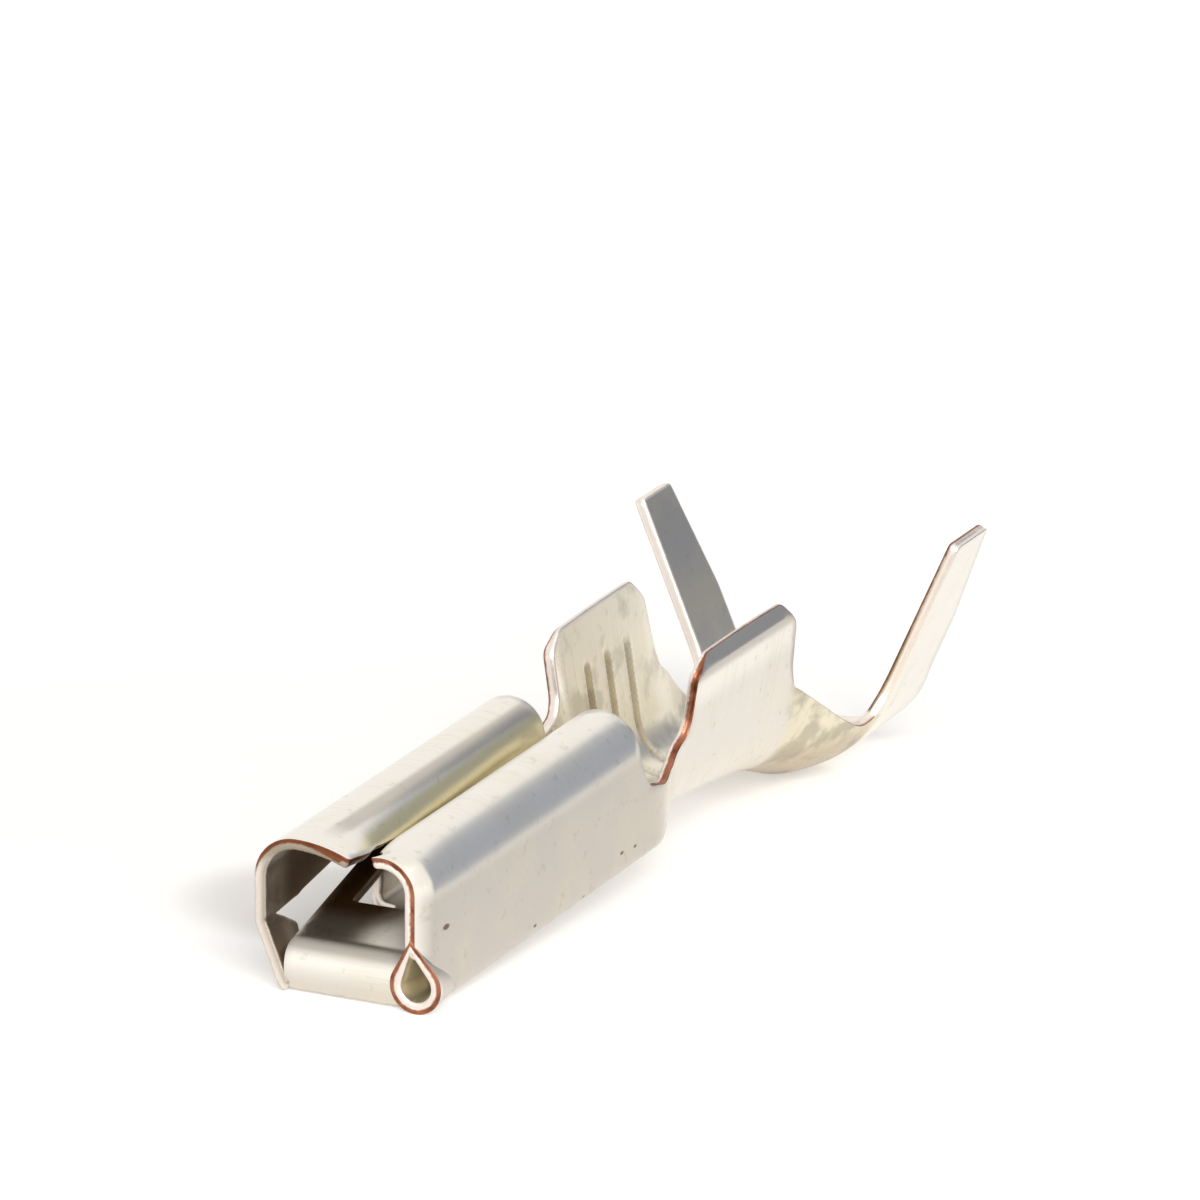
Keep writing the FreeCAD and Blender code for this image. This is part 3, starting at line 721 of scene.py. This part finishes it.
# sRGB hex to linear: v / 12.92 when dark, and otherwise ((v + 0.055) / 1.055)^2.4.
def hexColour(code):
    values = [int(code[k:k + 2], 16) / 255 for k in (0, 2, 4)]
    return [v / 12.92 if v <= 0.04045 else ((v + 0.055) / 1.055) ** 2.4 for v in values] + [1.0]


# Fills sockets by name or number: plain values are written, another node's socket is linked.
def plug(tree, inputs, values):
    for key, value in dict(values).items():
        if isinstance(value, bpy.types.NodeSocket):
            tree.links.new(value, inputs[key])
        else:
            inputs[key].default_value = value


# Adds a node with its settings, values and links, and gives back one of its outputs.
def addNode(tree, kind, values=(), output=0, **settings):
    node = tree.nodes.new("ShaderNode" + kind)
    for key, value in settings.items():
        setattr(node, key, value)
    plug(tree, node.inputs, values)
    return node.outputs[output]


# A material with its tree and its shader.
def newMaterial(name):
    material = bpy.data.materials.new(name)
    material.use_nodes = True
    tree = material.node_tree
    return material, tree, tree.nodes["Principled BSDF"]


soft = {"interpolation_type": "SMOOTHSTEP"}
blend = {"data_type": "RGBA"}

plating = {
    "tin": "F2EEE6", "worn": "CFC8BE", "wearAndShade": "C6C0B8", "yellowAndReflection": "E6DBB2", "stain": "8A6E4A",
    "blotch": "9A9480", "shadeBrown": "6E4A1E", "pit": "5A3A28", "roughness": 0.30,
    # Noises: size in millimetres, detail and roughness. The grain of real tin plating is a few
    # thousandths of a millimetre, too fine to show, so it is drawn coarser.
    "noises": {"fine": (0.06, 2.0, 0.55), "patch": (1.3, 4.0, 0.55), "blotch": (0.8, 3.0, 0.55),
               "speck": (0.24, 2.0, 0.5)},
    "grainDepthMm": 0.0005,
    # Streaks of drawing, their spacing and length, drawn coarser too.
    "streakMm": 0.07, "streakLengthMm": 2.2,
    # Pits on the right wall: distance behind the mouth, height and radius, longer along the strip.
    "pits": [(0.8, 1.55, 0.075), (8.5, 0.56, 0.045), (9.1, 0.51, 0.04), (6.84, 0.2, 0.035),
             (4.62, 0.33, 0.04)],
    "pitSqueeze": 0.45,
}


# Electroplated matte tin on brass: a soft metal mirror with a fine grain, streaked across the
# strip by drawing, greyer on the flat walls from wear and painted shade, yellow with painted
# reflection on the left curl's flank and the neck, and brown with painted shade inside the body and under the
# neck.
def tinPlate(name, yellow):
    material, tree, shader = newMaterial(name)
    p = plating
    place = addNode(tree, "TexCoord", output="Object")
    blank = addNode(tree, "UVMap", uv_map="blank")
    keys = ("paintedShade", "wearAndShade", "dull", "shine", "ageAndReflection", "stained")
    share = {key: addNode(tree, "Attribute", output="Fac", attribute_name=key) for key in keys}
    noise = {key: addNode(tree, "TexNoise", {"Vector": place, "Scale": 1000 / size, "Detail": detail,
                                             "Roughness": rough})
             for key, (size, detail, rough) in p["noises"].items()}
    stretch = (1 / p["streakMm"], 1 / p["streakLengthMm"], 1.0)
    stretched = addNode(tree, "Mapping", {"Vector": blank, "Scale": stretch})
    streak = addNode(tree, "TexNoise", {"Vector": stretched, "Scale": 1.0, "Detail": 3.0, "Roughness": 0.6})

    # Soft thresholds of the noises: value, from, to, and what they become there.
    thresholds = {
        "streaked": (streak, 0.50, 0.72),
        "patched": (noise["patch"], 0.40, 0.62, 0.15, 0.7),
        "old": (noise["patch"], 0.42 - yellow * 0.2, 0.68 - yellow * 0.15, 0.0, 0.12 + 0.6 * yellow),
        "blotchy": (noise["blotch"], 0.48, 0.66),
        "speck": (noise["speck"], 0.62, 0.74),
        "rough": (noise["fine"], 0.3, 0.75, p["roughness"] - 0.01, p["roughness"] + 0.05),
        "metallic": (share["dull"], 0.0, 1.0, 1.0, 0.25),
    }
    for key, values in thresholds.items():
        share[key] = addNode(tree, "MapRange", dict(enumerate(values)), **soft)
    pairs = [("worn", "streaked", "MULTIPLY", "patched"), ("yellowAndReflection", "old", "MAXIMUM", "ageAndReflection"),
             ("blotch", "blotchy", "MULTIPLY", "stained")]
    for key, a, how, b in pairs:
        share[key] = addNode(tree, "Math", {0: share[a], 1: share[b]}, operation=how)

    # Each tint lies over those before it.
    # Of these tints, the greyer one is wear and painted shade, the yellow one random ageing and painted
    # reflection, the brown one painted shade.
    layers = [("wearAndShade", 1.0, "wearAndShade"), ("worn", 0.6, "worn"), ("yellowAndReflection", 1.0, "yellowAndReflection"),
              ("blotch", 1.1, "blotch"), ("speck", 0.16, "stain"), ("paintedShade", 0.8, "shadeBrown")]
    colour = hexColour(p["tin"])
    for key, amount, tint in layers:
        factor = addNode(tree, "Math", {0: share[key], 1: amount}, operation="MULTIPLY")
        colour = addNode(tree, "Mix", {0: factor, 6: colour, 7: hexColour(p[tint])}, 2, **blend)
    squeezed = addNode(tree, "Mapping", {"Vector": blank, "Scale": (p["pitSqueeze"], 1.0, 1.0)})
    for at, high, radius in p["pits"]:
        point = (p["pitSqueeze"] * at, acrossAt(at, high, 1), 0.0)
        away = addNode(tree, "VectorMath", {0: squeezed, 1: point}, "Value", operation="DISTANCE")
        pit = addNode(tree, "MapRange", {0: away, 1: radius * 0.5, 2: radius, 3: 0.9, 4: 0.0}, **soft)
        colour = addNode(tree, "Mix", {0: pit, 6: colour, 7: hexColour(p["pit"])}, 2, **blend)

    # The worn places, the painted-shade places and the dulled ones scatter the mirror more, the throat's
    # polish less.
    rough = share["rough"]
    for key, amount in [("worn", 0.10), ("paintedShade", 0.12), ("dull", 0.25), ("shine", -0.20)]:
        more = addNode(tree, "Math", {0: share[key], 1: amount}, operation="MULTIPLY")
        rough = addNode(tree, "Math", {0: rough, 1: more}, operation="ADD")
    ridges = addNode(tree, "Math", {0: streak, 1: 0.8}, operation="MULTIPLY")
    height = addNode(tree, "Math", {0: noise["fine"], 1: ridges}, operation="ADD")
    bump = addNode(tree, "Bump", {"Height": height, "Strength": 1.0, "Distance": p["grainDepthMm"] / 1000})
    plug(tree, shader.inputs, {"Metallic": share["metallic"], "Base Color": colour, "Roughness": rough,
                               "Normal": bump})
    return material


# Torn brass is rough on a scale of hundredths of a millimetre, too fine to show, so its tears are
# drawn coarser. The line where the copper ends strays by wander, a share of the thickness.
cutEdge = {
    # The colours oxide and dull are painted shade: the bare and the plated part of a shaded edge.
    "copper": "AC7358", "dark": "6E3C28", "smear": "EFE6DE", "oxide": "70402A", "dull": "85755A",
    "roughness": 0.42, "tearMm": 0.12, "tearDepthMm": 0.004, "patchMm": 0.5, "wander": 0.30,
}


# Sheared brass: the torn part shows bare reddish metal, the burnished part drags the tin over it,
# and both are painted brown as shade where the painted-shade share is high.
def shearedEdge():
    material, tree, shader = newMaterial("shearedBrassEdge")
    c = cutEdge
    place = addNode(tree, "TexCoord", output="Object")
    n = {key: addNode(tree, "Attribute", output="Fac", attribute_name=key)
         for key in ("depth", "bare", "paintedShade")}
    for key, size, rough in [("tear", c["tearMm"], 0.7), ("patch", c["patchMm"], 0.55)]:
        noise = {"Vector": place, "Scale": 1000 / size, "Detail": 3.0, "Roughness": rough}
        n[key] = addNode(tree, "TexNoise", noise)
    thresholds = [("darker", "patch", 0.35, 0.70), ("some", "bare", 0.0, 0.6),
                  ("rough", "tear", 0.3, 0.7, c["roughness"] - 0.1, c["roughness"] + 0.12)]
    for key, value, *span in thresholds:
        n[key] = addNode(tree, "MapRange", dict(enumerate([n[value]] + span)), **soft)
    # The tin begins where the depth, with a stray line, is past the bare share of the edge.
    sums = [
        ("stray", "tear", "SUBTRACT", 0.5), ("stray", "stray", "MULTIPLY", c["wander"]),
        ("across", "depth", "ADD", "stray"), ("torn", "bare", "MULTIPLY", strip["copperShare"]),
        ("beyond", "across", "SUBTRACT", "torn"), ("none", 1.0, "SUBTRACT", "some"),
        ("edgeShade", "paintedShade", "MULTIPLY", 0.8),
    ]
    for key, a, how, b in sums:
        n[key] = addNode(tree, "Math", {0: n.get(a, a), 1: n.get(b, b)}, operation=how)
    begins = addNode(tree, "MapRange", {0: n["beyond"], 1: -0.10, 2: 0.10}, **soft)
    n["plated"] = addNode(tree, "Math", {0: begins, 1: n["none"]}, operation="MAXIMUM")
    n.update({key: hexColour(c[key]) for key in ("copper", "dark", "smear", "oxide", "dull")})
    # Where the painted-shade share is high, the edge is painted brown as shade.
    for key, factor, a, b in [("metal", "darker", "copper", "dark"), ("clean", "plated", "metal", "smear"),
                              ("shadedEdge", "plated", "oxide", "dull"), ("colour", "edgeShade", "clean", "shadedEdge")]:
        n[key] = addNode(tree, "Mix", {0: n[factor], 6: n[a], 7: n[b]}, 2, **blend)
    bump = addNode(tree, "Bump", {"Height": n["tear"], "Strength": 1.0, "Distance": c["tearDepthMm"] / 1000})
    plug(tree, shader.inputs, {"Metallic": 1.0, "Base Color": n["colour"], "Roughness": n["rough"],
                               "Normal": bump})
    return material


# In the order of a sheet's faces: outer, inner and cut edge.
materials = [tinPlate("matteTinPlate", 0.0), tinPlate("yellowedTinPlate", 0.3), shearedEdge()]
print("finishes ready:", [material.name for material in materials])
stripPiece = stripMesh(materials)
cornerPiece = loopMesh(materials)
for piece in (stripPiece, cornerPiece):
    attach(piece, "root")
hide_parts("terminal")
print("terminal drawn")

# The camera stands where the photograph was taken from; distances in millimetres.
photo = {"yaw": 25.05, "elevation": 18.10, "roll": 0.33, "distance": 195.5, "pixelsPerMm": 53.68,
         "originX": 341.1, "originY": 1003.9, "frame": 1200, "sensor": 36.0}


# A pinhole camera: its axes come from yaw, elevation and roll, its place from where the frame's
# origin falls in the picture, and its focal length from the scale at that distance.
def makeCamera():
    yaw, high, roll = (math.radians(photo[k]) for k in ("yaw", "elevation", "roll"))
    look = Vector((-math.cos(yaw) * math.cos(high), -math.sin(yaw) * math.cos(high), -math.sin(high)))
    right = Vector((-math.sin(yaw), math.cos(yaw), 0.0))
    up = right.cross(look)
    right, up = (right * math.cos(roll) + up * math.sin(roll), up * math.cos(roll) - right * math.sin(roll))
    centre, scale = photo["frame"] / 2, photo["pixelsPerMm"]
    place = (right * ((centre - photo["originX"]) / scale) + up * ((photo["originY"] - centre) / scale)
             - look * photo["distance"] - Vector((0, 0, tabLevel)))
    data = bpy.data.cameras.new("camera")
    data.sensor_width = photo["sensor"]
    data.lens = photo["sensor"] * scale * photo["distance"] / photo["frame"]
    data.clip_start, data.clip_end = 0.01, 20
    camera = bpy.data.objects.new("camera", data)
    turn = Matrix((right, up, -look)).transposed().to_4x4()
    camera.matrix_world = Matrix.Translation(place / 1000) @ turn
    addObject(camera)
    bpy.context.scene.camera = camera
    print("camera:", round(data.lens, 1), "mm lens")


studio = {
    "floor": "EEEBE7", "world": "FFFDFA", "worldStrength": 0.32,
    "frontContact": (0.5, 0.0), "backContact": (20.27, -1.46),   # distance behind the mouth, height
    # The floor's own light as the camera sees it: a painted shadow beside the left wall, and with
    # distance from its centre the light grows from shadeLift to floorLift over one span and on to farLift
    # over the other.
    "shade": (-5.8, -3.2, -3.5), "shadeLift": 0.20, "floorLift": 0.42, "farLift": 0.60,
    "shadeSpan": (2.2, 3.6), "farSpan": (9.0, 40.0),
}


# Share of camera, mirror and see-through rays, which all get the background's own white.
def seenDirectly(tree):
    rays = addNode(tree, "LightPath").node.outputs
    seen = addNode(tree, "Math", {0: rays["Is Camera Ray"], 1: rays["Is Glossy Ray"]}, operation="ADD")
    seen = addNode(tree, "Math", {0: seen, 1: rays["Is Transmission Ray"]}, operation="ADD")
    return addNode(tree, "Math", {0: seen, 1: 1.0}, operation="MINIMUM")


# A flat piece of the studio, from points in metres, in a plain matt material.
def flatPiece(name, points, faces, finish, hue):
    mesh = bpy.data.meshes.new(name)
    mesh.from_pydata(points, [], faces)
    obj = bpy.data.objects.new(name, mesh)
    addObject(obj)
    material, tree, shader = newMaterial(finish)
    plug(tree, shader.inputs, {"Base Color": hexColour(hue), "Roughness": 0.9})
    mesh.materials.append(material)
    return obj, tree, shader


# A plane through the two lines that the terminal rests on.
def makeFloor():
    (x0, z0), (x1, z1) = studio["frontContact"], studio["backContact"]
    slope = (z0 - z1) / (x1 - x0)
    reach = 0.9
    side = np.array([(-reach, -reach), (reach, -reach), (reach, reach), (-reach, reach)])
    z = (z0 - tabLevel) / 1000 + slope * (side[:, 0] + x0 / 1000)
    points = np.column_stack([side, z]).tolist()
    floor, tree, shader = flatPiece("floor", points, [(0, 1, 2, 3)], "whitePaper", studio["floor"])
    # A painted shadow: less light of its own close beside the left wall; more far away where the lamps fall
    # off.
    place = addNode(tree, "TexCoord", output="Object")
    centre = tuple(v / 1000 for v in studio["shade"])
    away = addNode(tree, "VectorMath", {0: place, 1: centre}, "Value", operation="DISTANCE")
    lifts = [(studio["shadeSpan"], studio["shadeLift"], studio["floorLift"]),
             (studio["farSpan"], 0.0, studio["farLift"] - studio["floorLift"])]
    near, far = (addNode(tree, "MapRange", {0: away, 1: start / 1000, 2: end / 1000, 3: low, 4: high}, **soft)
                 for (start, end), low, high in lifts)
    lift = addNode(tree, "Math", {0: near, 1: far}, operation="ADD")
    lift = addNode(tree, "Math", {0: seenDirectly(tree), 1: lift}, operation="MULTIPLY")
    plug(tree, shader.inputs, {"Specular IOR Level": 0.1, "Emission Color": (1, 1, 1, 1),
                               "Emission Strength": lift})


# A grey card stands behind the terminal and another lies level on its right, out of the picture.
# They draw the dark bands on the metal.
card = {
    "distance": 160.0, "heading": 148.0, "width": 178.0, "bottom": -2.0, "top": 120.0, "grey": "B0B8C8",
    "nearSide": 7.0, "farSide": 120.0, "nearEnd": 6.0, "lift": 0.3,
}


# Two flat rectangles: an upright one square to its heading, and a level one.
def makeCard():
    c = card
    a = math.radians(c["heading"])
    middle = Vector((math.cos(a), math.sin(a), 0)) * c["distance"]
    along = Vector((-math.sin(a), math.cos(a), 0)) * c["width"] / 2
    upright = [(-1, "bottom"), (1, "bottom"), (1, "top"), (-1, "top")]
    level = [("nearEnd", "nearSide"), ("nearEnd", "farSide"), ("distance", "farSide"),
             ("distance", "nearSide")]
    points = [middle + along * way + Vector((0, 0, c[height])) for way, height in upright]
    points += [Vector((-c[x], c[y], c["lift"] - tabLevel)) for x, y in level]
    obj = flatPiece("darkCard", [tuple(p / 1000) for p in points], [(0, 1, 2, 3), (4, 5, 6, 7)],
                    "greyCard", c["grey"])[0]
    obj.visible_camera = obj.visible_diffuse = obj.visible_shadow = False


# The room: its own strength for the light it gives, and 1 for the rays that see it.
def makeWorld():
    world = bpy.data.worlds.new("softRoom")
    bpy.context.scene.world = world
    world.use_nodes = True
    tree, dim = world.node_tree, studio["worldStrength"]
    more = addNode(tree, "Math", {0: seenDirectly(tree), 1: 1 - dim}, operation="MULTIPLY")
    strength = addNode(tree, "Math", {0: more, 1: dim}, operation="ADD")
    plug(tree, tree.nodes["Background"].inputs, {"Color": hexColour(studio["world"]), "Strength": strength})


# A soft box: where it hangs, its side in millimetres, its power in milliwatts and what it faces.
lamps = [
    {"name": "keyLamp", "place": (185, 130, 165), "size": 170, "milliwatts": 700},
    {"name": "frontLamp", "place": (150, -30, 70), "size": 90, "milliwatts": 10},
]


# Each lamp is a square that looks at the terminal's middle.
def makeLamps():
    for lamp in lamps:
        data = bpy.data.lights.new(lamp["name"], "AREA")
        data.size = lamp["size"] / 1000
        data.energy = lamp["milliwatts"] / 1000
        obj = bpy.data.objects.new(lamp["name"], data)
        place = Vector(lamp["place"]) / 1000
        aim = Vector((-0.010, 0, 0)) - place
        obj.matrix_world = Matrix.Translation(place) @ aim.to_track_quat("-Z", "Y").to_matrix().to_4x4()
        addObject(obj)


makeCamera()
makeFloor()
makeCard()
makeWorld()
makeLamps()
bpy.context.scene.view_settings.view_transform = "Standard"
print("studio ready")
